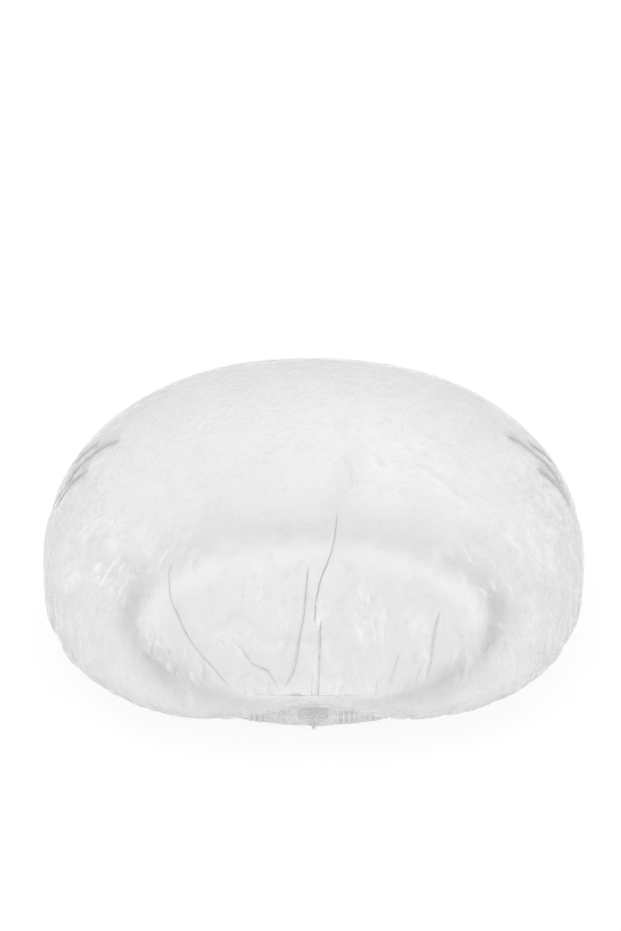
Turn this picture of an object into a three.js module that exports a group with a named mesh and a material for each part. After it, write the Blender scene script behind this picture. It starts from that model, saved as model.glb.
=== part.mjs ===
// Shower cap of clear film, puffed up and standing on its gathered hem.
// Millimetres, +Z up. The origin is the centre of the opening at the hem's foot.
// The hem's join faces -Y.
import * as THREE from 'three';

// Overall sizes of the puffed film
const CROWN_WIDTH = 250;
const CROWN_DEPTH = 268;
const BULGE_HEIGHT = 38.5;
const CROWN_RISE = 81;
const FILM_WALL = 0.7;

// Elastic: two round strands, each one turn with its ends lapped at the join
const LOOP_WIDTH = 168;
const LOOP_DEPTH = 177;
const STRAND_DIAMETER = 1.2;
const STRAND_LAP = 35;
const LAP_GAP = 0.5;
const LOWER_STRAND_HEIGHT = 5;
const STRAND_PITCH = 4.6;

// Hem: the film's edge folded in round the elastic, with a frill below it
const CASING_HEIGHT = 11;
const FOLD_EDGE_HEIGHT = 14;
const FRILL_FLARE = 2.4;
const GATHER_DEPTH = 1.3;
const PINCH_DEPTH = 0.5;
const GATHER_COUNT = 68;

// Join: a pressed patch with a small knurl, and the end of the elastic below it
const SEAL_LENGTH = 12.4;
const SEAL_MARGIN = 0.4;
const SEAL_WALL = 0.8;
const KNURL_DEPTH = 0.4;
const KNURL_PITCH = 1.55;
const CALM_MARGIN = 2.5;
const CALM_FADE = 5;
const TAIL_LENGTH = 4.4;
const TAIL_DIAMETER = 2.1;
const TAIL_TIP_DIAMETER = 1.4;
const TAIL_LIFT = 0.5;
const TAIL_TO_SEAL = 1;

// Fits
const SEAT_GAP = 0.3;
const COLLAR_HEIGHT = 1;

// Folds that run up the film from the hem
const FOLD_DEPTH = 2.5;
const UNDERSIDE_SAG = 5;

// How square the film's outline is: 2 is an ellipse, more is squarer, 1 is a straight slope
const PLAN_POWER = 2.22;
const SIDE_POWER = 3.6;
const FRONT_POWER = 2.55;
const BACK_POWER = 2.1;
const JOIN_POWER = 1.3;
const END_FOCUS = 3;

// How far round the close gathers at the join draw the film in, as a share of a turn
const JOIN_DRAW_SHARE = 0.045;

// How even the gathers are, and how their swell drifts from one to the next
const EVEN_SWELL_SHARE = 0.75;
const SWELL_DRIFT = 2.4;

// Each fold: its place and its lean as shares of a turn from the join, positive to the right,
// its reach as a share of the crown's height, and its depth as a share of FOLD_DEPTH
const FOLD_SHARES = [
  [-0.029, 0.022, 0.55, 1.0],
  [0.003, 0.0, 0.36, 0.7],
  [-0.088, -0.03, 0.46, 0.9],
  [0.074, 0.012, 0.3, 0.6],
  [0.103, 0.01, 0.42, 0.8],
  [0.147, 0.012, 0.32, 0.6],
  [-0.147, -0.01, 0.34, 0.6],
  [-0.206, -0.012, 0.3, 0.8],
  [0.206, 0.0, 0.36, 0.7],
  [0.279, -0.012, 0.42, 0.9],
  [-0.279, 0.012, 0.46, 0.8],
  [-0.324, 0.0, 0.3, 0.6],
  [0.324, 0.012, 0.34, 0.7],
  [0.368, -0.012, 0.5, 0.9],
  [-0.368, 0.012, 0.4, 0.9],
  [-0.426, 0.0, 0.32, 0.7],
  [0.426, 0.0, 0.3, 0.6],
  [0.485, 0.012, 0.48, 0.9],
];
const FOLD_WIDTH_SHARE = 0.011;

// Counts
const CROWN_COLUMNS = GATHER_COUNT;
const CASING_COLUMNS = GATHER_COUNT * 2;
const STRAND_STEPS = 96;
const STRAND_SIDES = 8;
const UNDERSIDE_STEPS = 5;
const DOME_STEPS = 9;
const TAIL_SIDES = 12;

// Derived sizes
const loopHalfWidth = LOOP_WIDTH / 2;
const loopHalfDepth = LOOP_DEPTH / 2;
const lapAngle = STRAND_LAP / loopHalfWidth;
const strandTurns = 1 + lapAngle / (2 * Math.PI);
const strandSpread = (STRAND_DIAMETER + LAP_GAP) * strandTurns;
const channelHalfWidth = (strandSpread + STRAND_DIAMETER) / 2 + SEAT_GAP;
const casingFace = channelHalfWidth + FILM_WALL;
const sealBase = TAIL_LIFT + TAIL_DIAMETER + TAIL_TO_SEAL;
const sealHeight = CASING_HEIGHT - SEAL_MARGIN - sealBase;
const rimHeight = CASING_HEIGHT + SEAT_GAP;
const collarTop = rimHeight + COLLAR_HEIGHT;
const crownTop = BULGE_HEIGHT + CROWN_RISE;

// The elastic's centre line, moved outward by an offset. The turn angle is 0 at the join.
function loopPoint(turn, offset, height) {
  const along = loopHalfWidth * Math.sin(turn);
  const back = -loopHalfDepth * Math.cos(turn);
  const outward = loopOutward(turn);
  return new THREE.Vector3(along + offset * outward.x, back + offset * outward.y, height);
}

function loopOutward(turn) {
  const outward = new THREE.Vector3(loopHalfDepth * Math.sin(turn), -loopHalfWidth * Math.cos(turn), 0);
  return outward.normalize();
}

// 0 in the flat stretch at the join, rising to 1 where the gathers are full
function awayFromJoin(turn) {
  const arc = Math.abs(loopHalfWidth * Math.sin(turn));
  const inFront = Math.cos(turn) > 0;
  const calmLength = SEAL_LENGTH / 2 + CALM_MARGIN;
  return inFront ? THREE.MathUtils.smoothstep(arc, calmLength, calmLength + CALM_FADE) : 1;
}

// Geometry from a list of points and a list of triangles
function solidFrom(points, triangles) {
  const geometry = new THREE.BufferGeometry();
  geometry.setFromPoints(points);
  geometry.setIndex(triangles);
  geometry.computeVertexNormals();
  return geometry;
}

// Faces between two closed rings of points, given by the number of each ring's first point
function joinRings(triangles, lower, upper, columns) {
  for (let column = 0; column < columns; column += 1) {
    const next = (column + 1) % columns;
    triangles.push(lower + column, lower + next, upper + column);
    triangles.push(lower + next, upper + next, upper + column);
  }
}

function capRing(triangles, ring, apex, columns, facesUp) {
  for (let column = 0; column < columns; column += 1) {
    const next = (column + 1) % columns;
    const edge = facesUp ? [ring + column, ring + next] : [ring + next, ring + column];
    triangles.push(...edge, apex);
  }
}

// 1 at the join, fading to 0 where its close gathers no longer draw the film in
function joinDraw(turn) {
  const turnShare = turn / (2 * Math.PI);
  const apart = turnShare - Math.round(turnShare);
  return Math.exp(-((apart / JOIN_DRAW_SHARE) ** 2));
}

// How squarely the film bulges over its underside: fullest at the sides, slight at the join
function bulgePower(turn) {
  const facing = Math.cos(turn);
  const endPower = facing > 0 ? FRONT_POWER : BACK_POWER;
  const power = THREE.MathUtils.lerp(SIDE_POWER, endPower, Math.abs(facing) ** END_FOCUS);
  return THREE.MathUtils.lerp(power, JOIN_POWER, joinDraw(turn));
}

function planPoint(turn, halfWidth, halfDepth, power, height) {
  const across = Math.sin(turn);
  const facing = Math.cos(turn);
  const x = halfWidth * Math.sign(across) * Math.abs(across) ** (2 / power);
  const y = -halfDepth * Math.sign(facing) * Math.abs(facing) ** (2 / power);
  return new THREE.Vector3(x, y, height);
}

function undersidePoint(turn, angle) {
  const power = bulgePower(turn);
  const reach = Math.sin(angle) ** (2 / power);
  const fall = Math.cos(angle) ** (2 / power);
  const halfWidth = THREE.MathUtils.lerp(loopHalfWidth + casingFace, CROWN_WIDTH / 2, reach);
  const halfDepth = THREE.MathUtils.lerp(loopHalfDepth + casingFace, CROWN_DEPTH / 2, reach);
  const planPower = THREE.MathUtils.lerp(2, PLAN_POWER, reach);
  const sagShape = Math.sin(2 * angle) * Math.cos(angle) * (1 - joinDraw(turn));
  const height = collarTop + (BULGE_HEIGHT - collarTop) * (1 - fall) - UNDERSIDE_SAG * sagShape;
  return planPoint(turn, halfWidth, halfDepth, planPower, height);
}

function domePoint(turn, angle) {
  const reach = Math.cos(angle);
  const height = BULGE_HEIGHT + CROWN_RISE * Math.sin(angle);
  return planPoint(turn, reach * CROWN_WIDTH / 2, reach * CROWN_DEPTH / 2, PLAN_POWER, height);
}

// How far the folds draw the film in at a place: a narrow valley along each fold's leaning line
function foldDraw(turn, height) {
  const turnShare = turn / (2 * Math.PI);
  const rise = (height - collarTop) / (crownTop - collarTop);
  let draw = 0;
  for (const [place, lean, reach, depth] of FOLD_SHARES) {
    const climbed = Math.max(rise, 0) / reach;
    if (climbed < 1) {
      const centre = place + lean * climbed;
      const apart = turnShare - centre - Math.round(turnShare - centre);
      const across = Math.exp(-((apart / FOLD_WIDTH_SHARE) ** 2));
      draw += depth * across * (1 - climbed);
    }
  }
  return FOLD_DEPTH * draw;
}

// The outer points of one column of the crown, from the rim up, without the top point
function crownColumn(turn) {
  const rim = loopPoint(turn, casingFace, rimHeight);
  const collar = loopPoint(turn, casingFace, collarTop);
  const film = [];
  for (let step = 1; step <= UNDERSIDE_STEPS; step += 1) {
    film.push(undersidePoint(turn, (step / UNDERSIDE_STEPS) * Math.PI / 2));
  }
  for (let step = 1; step < DOME_STEPS; step += 1) {
    film.push(domePoint(turn, (step / DOME_STEPS) * Math.PI / 2));
  }
  const outward = loopOutward(turn);
  for (const point of film) {
    point.addScaledVector(outward, -foldDraw(turn, point.z));
  }
  return [rim, collar, ...film];
}

// The same column moved in by the film's wall, square to the surface at each point
function innerColumn(outer, turn, top) {
  const outward = loopOutward(turn);
  const stations = [...outer, top];
  const faceNormals = [];
  for (let step = 1; step < stations.length; step += 1) {
    const rise = stations[step].clone().sub(stations[step - 1]);
    const run = rise.dot(outward);
    faceNormals.push(new THREE.Vector2(rise.z, -run).normalize());
  }
  return outer.map((point, step) => {
    const above = faceNormals[step];
    const below = faceNormals[Math.max(step - 1, 0)];
    const mitre = above.clone().add(below).divideScalar(1 + above.dot(below));
    const inner = point.clone().addScaledVector(outward, -FILM_WALL * mitre.x);
    inner.z -= step === 0 ? 0 : FILM_WALL * mitre.y;
    return inner;
  });
}

function crownFilm() {
  const top = new THREE.Vector3(0, 0, crownTop);
  const outerColumns = [];
  const innerColumns = [];
  for (let column = 0; column < CROWN_COLUMNS; column += 1) {
    const turn = (column / CROWN_COLUMNS) * 2 * Math.PI;
    const outer = crownColumn(turn);
    outerColumns.push(outer);
    innerColumns.push(innerColumn(outer, turn, top));
  }
  const rings = outerColumns[0].length;
  const points = [];
  for (const columns of [outerColumns, innerColumns]) {
    for (let ring = 0; ring < rings; ring += 1) {
      points.push(...columns.map((column) => column[ring]));
    }
  }
  const outerTop = points.push(top) - 1;
  const innerTop = points.push(new THREE.Vector3(0, 0, crownTop - FILM_WALL)) - 1;
  const innerStart = rings * CROWN_COLUMNS;
  const triangles = [];
  for (let ring = 0; ring + 1 < rings; ring += 1) {
    const lower = ring * CROWN_COLUMNS;
    const upper = lower + CROWN_COLUMNS;
    joinRings(triangles, lower, upper, CROWN_COLUMNS);
    joinRings(triangles, innerStart + upper, innerStart + lower, CROWN_COLUMNS);
  }
  joinRings(triangles, innerStart, 0, CROWN_COLUMNS);
  capRing(triangles, innerStart - CROWN_COLUMNS, outerTop, CROWN_COLUMNS, true);
  capRing(triangles, 2 * innerStart - CROWN_COLUMNS, innerTop, CROWN_COLUMNS, false);
  return solidFrom(points, triangles);
}

// The hem's section at one column: out and up the outer leaf, down its inside, across the
// channel's floor, up and over the inner leaf, and down to the foot
function casingSection(turn, column) {
  const swell = THREE.MathUtils.lerp(Math.sin(column * SWELL_DRIFT), 1, EVEN_SWELL_SHARE);
  const isPeak = column % 2 === 1;
  const wave = isPeak ? swell * awayFromJoin(turn) : 0;
  const draw = GATHER_DEPTH * wave;
  return [
    [casingFace + FRILL_FLARE * wave, 0],
    [casingFace + PINCH_DEPTH * wave, LOWER_STRAND_HEIGHT],
    [casingFace + draw, CASING_HEIGHT],
    [channelHalfWidth + draw, CASING_HEIGHT],
    [channelHalfWidth, FILM_WALL],
    [-channelHalfWidth, FILM_WALL],
    [-channelHalfWidth - draw, FOLD_EDGE_HEIGHT],
    [-casingFace - draw, FOLD_EDGE_HEIGHT],
    [-casingFace, 0],
  ];
}

function hemCasing() {
  const sections = [];
  for (let column = 0; column < CASING_COLUMNS; column += 1) {
    const turn = (column / CASING_COLUMNS) * 2 * Math.PI;
    const section = casingSection(turn, column);
    sections.push(section.map(([offset, height]) => loopPoint(turn, offset, height)));
  }
  const rings = sections[0].length;
  const points = [];
  const triangles = [];
  for (let ring = 0; ring < rings; ring += 1) {
    points.push(...sections.map((section) => section[ring]));
    joinRings(triangles, ring * CASING_COLUMNS, ((ring + 1) % rings) * CASING_COLUMNS, CASING_COLUMNS);
  }
  return solidFrom(points, triangles);
}

// One turn of elastic that drifts outward, so that its lapped ends lie side by side
class StrandPath extends THREE.Curve {
  constructor(height) {
    super();
    this.height = height;
  }

  getPoint(share, target = new THREE.Vector3()) {
    const turn = (share - 0.5) * strandTurns * 2 * Math.PI + Math.PI;
    const offset = (share - 0.5) * strandSpread;
    return target.copy(loopPoint(turn, offset, this.height));
  }
}

function elasticStrand(height) {
  const section = new THREE.Shape();
  section.absarc(0, 0, STRAND_DIAMETER / 2, 0, 2 * Math.PI);
  return new THREE.ExtrudeGeometry(section, {
    steps: STRAND_STEPS,
    curveSegments: STRAND_SIDES / 2,
    extrudePath: new StrandPath(height),
  });
}

// The pressed patch: a curved plate on the hem's outer face, with a raised diamond knurl
function joinSeal() {
  const across = 2 * Math.round(SEAL_LENGTH / KNURL_PITCH);
  const up = 2 * Math.round(sealHeight / KNURL_PITCH);
  const back = casingFace + SEAT_GAP;
  const points = [];
  for (const isFront of [true, false]) {
    for (let row = 0; row <= up; row += 1) {
      for (let column = 0; column <= across; column += 1) {
        const turn = (column / across - 0.5) * SEAL_LENGTH / loopHalfWidth;
        const isInside = row > 0 && row < up && column > 0 && column < across;
        const raised = isInside && column % 2 === 1 && row % 2 === 1 ? KNURL_DEPTH : 0;
        const offset = isFront ? back + SEAL_WALL + raised : back;
        points.push(loopPoint(turn, offset, sealBase + (row / up) * sealHeight));
      }
    }
  }
  const rowLength = across + 1;
  const backStart = points.length / 2;
  const triangles = [];
  for (let row = 0; row < up; row += 1) {
    for (let column = 0; column < across; column += 1) {
      const corner = row * rowLength + column;
      const above = corner + rowLength;
      triangles.push(corner, corner + 1, above, corner + 1, above + 1, above);
      const behind = backStart + corner;
      const behindAbove = backStart + above;
      triangles.push(behind, behindAbove, behind + 1, behind + 1, behindAbove, behindAbove + 1);
    }
  }
  closeEdge(triangles, edgeNumbers(across, up, rowLength), backStart);
  return solidFrom(points, triangles);
}

// The numbers of a grid's edge points, in order round it as seen from the front
function edgeNumbers(across, up, rowLength) {
  const numbers = [];
  for (let column = 0; column < across; column += 1) numbers.push(column);
  for (let row = 0; row < up; row += 1) numbers.push(row * rowLength + across);
  for (let column = across; column > 0; column -= 1) numbers.push(up * rowLength + column);
  for (let row = up; row > 0; row -= 1) numbers.push(row * rowLength);
  return numbers;
}

function closeEdge(triangles, edge, backStart) {
  edge.forEach((number, place) => {
    const next = edge[(place + 1) % edge.length];
    triangles.push(number, backStart + number, next, next, backStart + number, backStart + next);
  });
}

// The elastic's cut end: a short tapered stub with a rounded tip
function joinTail() {
  const rootRadius = TAIL_DIAMETER / 2;
  const tipRadius = TAIL_TIP_DIAMETER / 2;
  const straightLength = TAIL_LENGTH - tipRadius;
  const profile = [
    new THREE.Vector2(0, 0),
    new THREE.Vector2(rootRadius, 0),
    new THREE.Vector2(tipRadius, straightLength),
    new THREE.Vector2(tipRadius * Math.SQRT1_2, straightLength + tipRadius * Math.SQRT1_2),
    new THREE.Vector2(0, TAIL_LENGTH),
  ];
  return new THREE.LatheGeometry(profile, TAIL_SIDES);
}

const film = { color: 0xf1f2f4, roughness: 0.28, metalness: 0, transparent: true, opacity: 0.5 };
const rubber = { color: 0xd9dadc, roughness: 0.6, metalness: 0 };

function piece(name, geometry, look) {
  const mesh = new THREE.Mesh(geometry, new THREE.MeshStandardMaterial(look));
  mesh.name = name;
  return mesh;
}

const showerCap = new THREE.Group();
showerCap.add(piece('crown_film', crownFilm(), film));
showerCap.add(piece('hem_casing', hemCasing(), film));
showerCap.add(piece('elastic_strand_lower', elasticStrand(LOWER_STRAND_HEIGHT), rubber));
showerCap.add(piece('elastic_strand_upper', elasticStrand(LOWER_STRAND_HEIGHT + STRAND_PITCH), rubber));
showerCap.add(piece('join_seal', joinSeal(), film));

const tail = piece('join_tail', joinTail(), rubber);
tail.position.copy(loopPoint(0, casingFace + SEAT_GAP, TAIL_LIFT + TAIL_DIAMETER / 2));
tail.rotation.x = Math.PI;
showerCap.add(tail);

export default showerCap;
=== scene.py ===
import math

import bpy
import numpy as np
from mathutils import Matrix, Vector


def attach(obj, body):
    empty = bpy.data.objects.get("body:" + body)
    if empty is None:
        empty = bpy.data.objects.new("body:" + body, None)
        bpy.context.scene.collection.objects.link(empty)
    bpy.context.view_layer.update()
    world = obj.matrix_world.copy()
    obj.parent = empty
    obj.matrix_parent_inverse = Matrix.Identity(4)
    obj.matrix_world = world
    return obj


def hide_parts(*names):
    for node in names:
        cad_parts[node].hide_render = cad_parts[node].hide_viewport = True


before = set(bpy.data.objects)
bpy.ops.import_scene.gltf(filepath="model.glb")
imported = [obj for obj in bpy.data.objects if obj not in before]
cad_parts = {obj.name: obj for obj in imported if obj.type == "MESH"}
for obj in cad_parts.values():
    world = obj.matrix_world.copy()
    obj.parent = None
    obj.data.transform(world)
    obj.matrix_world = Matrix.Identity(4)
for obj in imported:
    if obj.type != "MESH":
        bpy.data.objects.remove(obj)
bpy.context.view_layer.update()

MM = 0.001
scene = bpy.context.scene

# The photograph's frame, and how the cap sits in it
PHOTO_WIDTH_PX = 621
PHOTO_HEIGHT_PX = 931
ORIGIN_COLUMN_PX = 313.5
ORIGIN_ROW_PX = 635.8
PIXEL_SIZE = 0.4612
CAMERA_ELEVATION = 27.0
CAMERA_DISTANCE = 10000.0
SENSOR_SIZE = 36.0

# The cap's driving sizes: the part's own, but for a wider join spread and a blunter tail tip
CROWN_WIDTH = 250.0
CROWN_DEPTH = 268.0
BULGE_HEIGHT = 38.5
CROWN_RISE = 81.0
LOOP_WIDTH = 168.0
LOOP_DEPTH = 177.0
STRAND_DIAMETER = 1.2
STRAND_LAP = 35.0
STRAND_SPREAD = 1.81
STRAND_HEIGHTS = (5.0, 9.6)
CASING_FACE = 2.51
COLLAR_TOP = 12.3
UNDERSIDE_SAG = 5.0
PLAN_POWER = 2.22
SIDE_POWER = 3.6
FRONT_POWER = 2.55
BACK_POWER = 2.1
JOIN_POWER = 1.3
END_FOCUS = 3
JOIN_DRAW_SHARE = 0.056
SEAL_LENGTH = 12.4
SEAL_BASE = 3.6
SEAL_HEIGHT = 7.0
SEAL_GAP = 0.3
TAIL_LENGTH = 4.4
TAIL_ROOT_RADIUS = 1.05
TAIL_TIP_RADIUS = 0.95
TAIL_HEIGHT = 1.55

LOOP_HALF_WIDTH = LOOP_WIDTH / 2
LOOP_HALF_DEPTH = LOOP_DEPTH / 2
TURN = 2 * math.pi

# The film is a thin closed wall, so that light bends in and out of it as it does in film
FILM_WALL = 0.1

# The film's gathers: how many go round, from the finest at the hem to the broadest
HEM_PLEATS = 210
PLEAT_LEVELS = (
    # count, depth in mm, height above the hem where it starts, is deepest and ends
    (84, 1.5, 1.0, 18.0, 52.0),
    (47, 1.6, 6.0, 28.0, 68.0),
    (25, 1.1, 14.0, 40.0, 86.0),
)

# Tucks that show in the photograph: points from the lower end up, each a column and a row in pixels
# and the width of film that lies doubled there in millimetres
PHOTO_TUCKS = (
    ((282, 691, 0.8), (286, 684, 1.5), (292, 674, 2.3), (295, 662, 2.5), (299, 640, 1.8), (303, 615, 1.7),
     (306, 590, 1.5), (309, 563, 0.8)),
    ((314, 624, 1.0), (314, 612, 1.6), (315, 602, 1.6), (317, 592, 1.4), (320, 578, 1.3), (326, 566, 1.2),
     (333, 545, 1.0), (337, 512, 0.8)),
    ((318, 697, 0.9), (319, 675, 1.4), (319, 650, 1.6), (320, 627, 1.5), (324, 614, 0.8)),
    ((232, 688, 0.9), (227, 684, 1.4), (219, 676, 1.7), (212, 667, 1.8), (201, 656, 1.8), (195, 648, 1.9),
     (186, 635, 2.2), (181, 626, 2.2), (178, 616, 1.6), (173, 608, 1.3), (170, 604, 1.2), (168, 589, 1.1),
     (168, 563, 0.8)),
    ((281, 689, 0.8), (276, 684, 1.6), (271, 677, 2.2), (267, 671, 1.9), (254, 666, 1.4), (247, 658, 1.4),
     (240, 647, 1.2), (232, 640, 1.0), (218, 636, 0.9), (205, 633, 0.8)),
    ((425, 685, 0.9), (431, 662, 1.6), (433, 641, 1.9), (436, 625, 1.7), (442, 608, 0.9)),
    ((387, 692, 0.8), (395, 668, 1.3), (400, 653, 0.8)),
    ((454, 678, 0.8), (457, 662, 1.2), (464, 645, 0.8)),
)

# Wide folds on the shoulders, where the film lies over itself, in the same terms. They are drawn as pinches
# with a wide painted shade beside them for their dark look.
SHOULDER_TUCKS = (
    ((60, 492, 0.8), (70, 474, 1.8), (80, 462, 2.2), (93, 450, 2.0), (107, 441, 1.4), (121, 438, 0.8)),
    ((54, 508, 0.8), (61, 494, 1.8), (70, 481, 2.0), (78, 474, 1.6), (90, 467, 0.8)),
    ((72, 464, 0.8), (82, 452, 2.0), (91, 445, 1.6), (100, 440, 0.8)),
    ((567, 492, 0.8), (557, 474, 1.8), (547, 462, 2.2), (534, 450, 2.0), (520, 440, 1.4), (504, 434, 0.8)),
    ((573, 508, 0.8), (566, 494, 1.8), (557, 481, 2.0), (549, 474, 1.6), (537, 467, 0.8)),
    ((555, 464, 0.8), (545, 452, 2.0), (536, 445, 1.6), (527, 440, 0.8)),
)

# Fine creases that show as single lines, as columns and rows in pixels from the lower end up
PHOTO_CREASES = (
    ((268, 698), (268, 679)), ((232, 689), (238, 681), (245, 676), (254, 672)), ((244, 694), (241, 682)),
    ((258, 697), (254, 685)), ((206, 688), (202, 671), (199, 654)),
    ((176, 677), (174, 666), (169, 653), (162, 642)), ((224, 649), (217, 638)),
    ((191, 672), (186, 660), (185, 645)), ((310, 700), (312, 672)), ((138, 580), (138, 569)),
    ((146, 599), (146, 588)), ((415, 685), (425, 653)), ((372, 699), (379, 677)),
    ((397, 695), (409, 682)), ((336, 701), (340, 684)), ((474, 504), (454, 490), (434, 472), (410, 458)),
    ((354, 490), (352, 477), (343, 450)), ((388, 470), (377, 458), (374, 448)),
    ((150, 660), (152, 640), (149, 622)), ((484, 655), (489, 636), (486, 622)),
)

# Tucks out of the photograph's sight: place and lean as shares of a turn from the join, reach up
# the film from the hem in mm, and doubled width in mm
HIDDEN_TUCK_SHARES = (
    (0.206, 0.004, 62.0, 1.8), (-0.212, -0.006, 54.0, 1.9), (0.279, -0.01, 84.0, 2.4),
    (-0.279, 0.01, 92.0, 2.2), (-0.324, 0.0, 58.0, 1.6), (0.324, 0.01, 68.0, 1.8),
    (0.368, -0.01, 104.0, 2.6), (-0.368, 0.01, 80.0, 2.3), (-0.426, 0.0, 60.0, 1.7),
    (0.426, 0.004, 56.0, 1.6), (0.475, 0.01, 98.0, 2.5), (-0.47, -0.006, 70.0, 1.9),
)


def together(*parts):
    """The parts side by side, as three lists of numbers make a list of points."""
    return np.stack(parts, axis=-1)


def chain(*parts):
    return np.concatenate(parts)


def whole_turns_off(turn):
    """The same turn, between half a turn back and half a turn on."""
    return turn - TURN * np.round(turn / TURN)


def lerp(low, high, share):
    return low + (high - low) * share


def smooth(start, end, value):
    share = np.clip((value - start) / (end - start), 0, 1)
    return share * share * (3 - 2 * share)


def noise(x, y, seed, wide=96):
    """Gradient noise of unit wavelength, from about -1 to 1, that repeats after wide cells."""
    high = 96
    headings = np.random.default_rng(seed).uniform(0, TURN, (wide, high))
    column = np.floor(x).astype(int)
    row = np.floor(y).astype(int)
    part_x = x - column
    part_y = y - row
    ease_x = part_x ** 3 * (part_x * (part_x * 6 - 15) + 10)
    ease_y = part_y ** 3 * (part_y * (part_y * 6 - 15) + 10)

    def corner(right, up):
        heading = headings[(column + right) % wide, (row + up) % high]
        return np.cos(heading) * (part_x - right) + np.sin(heading) * (part_y - up)

    lower = lerp(corner(0, 0), corner(1, 0), ease_x)
    upper = lerp(corner(0, 1), corner(1, 1), ease_x)
    return 1.5 * lerp(lower, upper, ease_y)


def round_noise(turn, up, cells, seed):
    """Noise that closes on itself round the cap, with cells waves in a turn."""
    return noise(turn / TURN * cells + cells, up, seed, wide=cells)


def waves(turn, terms, up=0.5):
    """A sum of round noises, each with a size, a wavelength up the film, cells round the cap and a seed."""
    return sum(size * round_noise(turn, up / length, cells, seed) for size, length, cells, seed in terms)


CREST_SHARPNESS = 0.97
VALLEY_ROUNDING = 0.012


def zigzag(phase):
    """A wave with sharp crests, from -1 to 1."""
    return np.arcsin(CREST_SHARPNESS * np.sin(phase)) / math.asin(CREST_SHARPNESS)


def billow(phase):
    """Round ridges at 0 with narrow valleys between them at -1, as gathered film hangs."""
    return np.sqrt(np.sin(phase / 2) ** 2 + VALLEY_ROUNDING) - 1


# The cap's smooth form, as the part has it

def power_of(share, power):
    return np.sign(share) * np.abs(share) ** power


def plan_point(turn, half_width, half_depth, power, height):
    x = half_width * power_of(np.sin(turn), 2 / power)
    y = -half_depth * power_of(np.cos(turn), 2 / power)
    return together(x, y, height + 0 * x)


def join_draw(turn):
    share = turn / TURN
    return np.exp(-(((share - np.round(share)) / JOIN_DRAW_SHARE) ** 2))


def bulge_power(turn):
    facing = np.cos(turn)
    end_power = np.where(facing > 0, FRONT_POWER, BACK_POWER)
    power = lerp(SIDE_POWER, end_power, np.abs(facing) ** END_FOCUS)
    return lerp(power, JOIN_POWER, join_draw(turn))


def smooth_crown(turn, level):
    """A point of the unwrinkled crown. level is 0 at the top, 1 at the widest ring and 2 at the hem."""
    dome_angle = (1 - np.minimum(level, 1)) * math.pi / 2
    reach = np.cos(dome_angle)
    dome_height = BULGE_HEIGHT + CROWN_RISE * np.sin(dome_angle)
    dome = plan_point(turn, reach * CROWN_WIDTH / 2, reach * CROWN_DEPTH / 2, PLAN_POWER, dome_height)
    under_angle = np.clip(2 - level, 0, 1) * math.pi / 2
    power = bulge_power(turn)
    out = np.sin(under_angle) ** (2 / power)
    fall = np.clip(np.cos(under_angle), 0, 1) ** (2 / power)
    half_width = lerp(LOOP_HALF_WIDTH + CASING_FACE, CROWN_WIDTH / 2, out)
    half_depth = lerp(LOOP_HALF_DEPTH + CASING_FACE, CROWN_DEPTH / 2, out)
    sag = UNDERSIDE_SAG * np.sin(2 * under_angle) * np.cos(under_angle) * (1 - join_draw(turn))
    height = COLLAR_TOP + (BULGE_HEIGHT - COLLAR_TOP) * (1 - fall) - sag
    under = plan_point(turn, half_width, half_depth, lerp(2, PLAN_POWER, out), height)
    return np.where((level <= 1)[..., None], dome, under)


def unit(vectors):
    return vectors / np.maximum(np.linalg.norm(vectors, axis=-1, keepdims=True), 1e-9)


def crown_frame(turn, level):
    """Point, outward normal, direction round the cap and direction down the film, with the round scale."""
    step = 0.002
    point = smooth_crown(turn, level)
    round_step = smooth_crown(turn + step, level) - smooth_crown(turn - step, level)
    higher = np.clip(level - step, 2 * step, 2)
    lower = np.clip(level + step, 2 * step, 2)
    down = unit(smooth_crown(turn, lower) - smooth_crown(turn, higher))
    scale = np.linalg.norm(round_step, axis=-1) / (2 * step)
    sideways = unit(round_step)
    normal = unit(np.cross(down, sideways))
    return point, normal, sideways, down, scale


def loop_frame(turn):
    """Outward and sideways directions of the elastic's loop."""
    across = np.sin(turn)
    facing = np.cos(turn)
    flat = np.zeros_like(turn)
    outward = unit(together(LOOP_HALF_DEPTH * across, -LOOP_HALF_WIDTH * facing, flat))
    sideways = together(-outward[..., 1], outward[..., 0], flat)
    return outward, sideways


def loop_point(turn, offset, height):
    outward, _ = loop_frame(turn)
    flat = np.zeros_like(turn)
    x = LOOP_HALF_WIDTH * np.sin(turn)
    y = -LOOP_HALF_DEPTH * np.cos(turn)
    return together(x, y, flat + height) + outward * (offset + flat)[..., None]


# The film's length from the top down to each level, taken as the mean round the cap
LEVELS = np.linspace(0, 2, 801)
sample_turns = np.linspace(-math.pi, math.pi, 73)[:-1]
profiles = smooth_crown(*np.meshgrid(sample_turns, LEVELS, indexing="ij"))
steps_down = np.linalg.norm(np.diff(profiles, axis=1), axis=-1).mean(axis=0)
LENGTHS = chain([0], np.cumsum(steps_down))
CROWN_LENGTH = float(LENGTHS[-1])


def level_at(length):
    return np.interp(length, LENGTHS, LEVELS)


# The camera, level with the photograph's own

view_elevation = math.radians(CAMERA_ELEVATION)
view_up = np.array([0, math.sin(view_elevation), math.cos(view_elevation)])
view_right = np.array([1.0, 0, 0])
view_back = np.array([0, -math.cos(view_elevation), math.sin(view_elevation)])
frame_centre = (
    view_right * (PHOTO_WIDTH_PX / 2 - ORIGIN_COLUMN_PX) * PIXEL_SIZE
    + view_up * (ORIGIN_ROW_PX - PHOTO_HEIGHT_PX / 2) * PIXEL_SIZE
)
camera_place = frame_centre + view_back * CAMERA_DISTANCE


def photo_pixel(points):
    """Where points in millimetres fall in the photograph's frame."""
    away = points - camera_place
    depth = -(away @ view_back)
    scale = CAMERA_DISTANCE / depth / PIXEL_SIZE
    column = PHOTO_WIDTH_PX / 2 + (away @ view_right) * scale
    row = PHOTO_HEIGHT_PX / 2 - (away @ view_up) * scale
    return column, row


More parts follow.
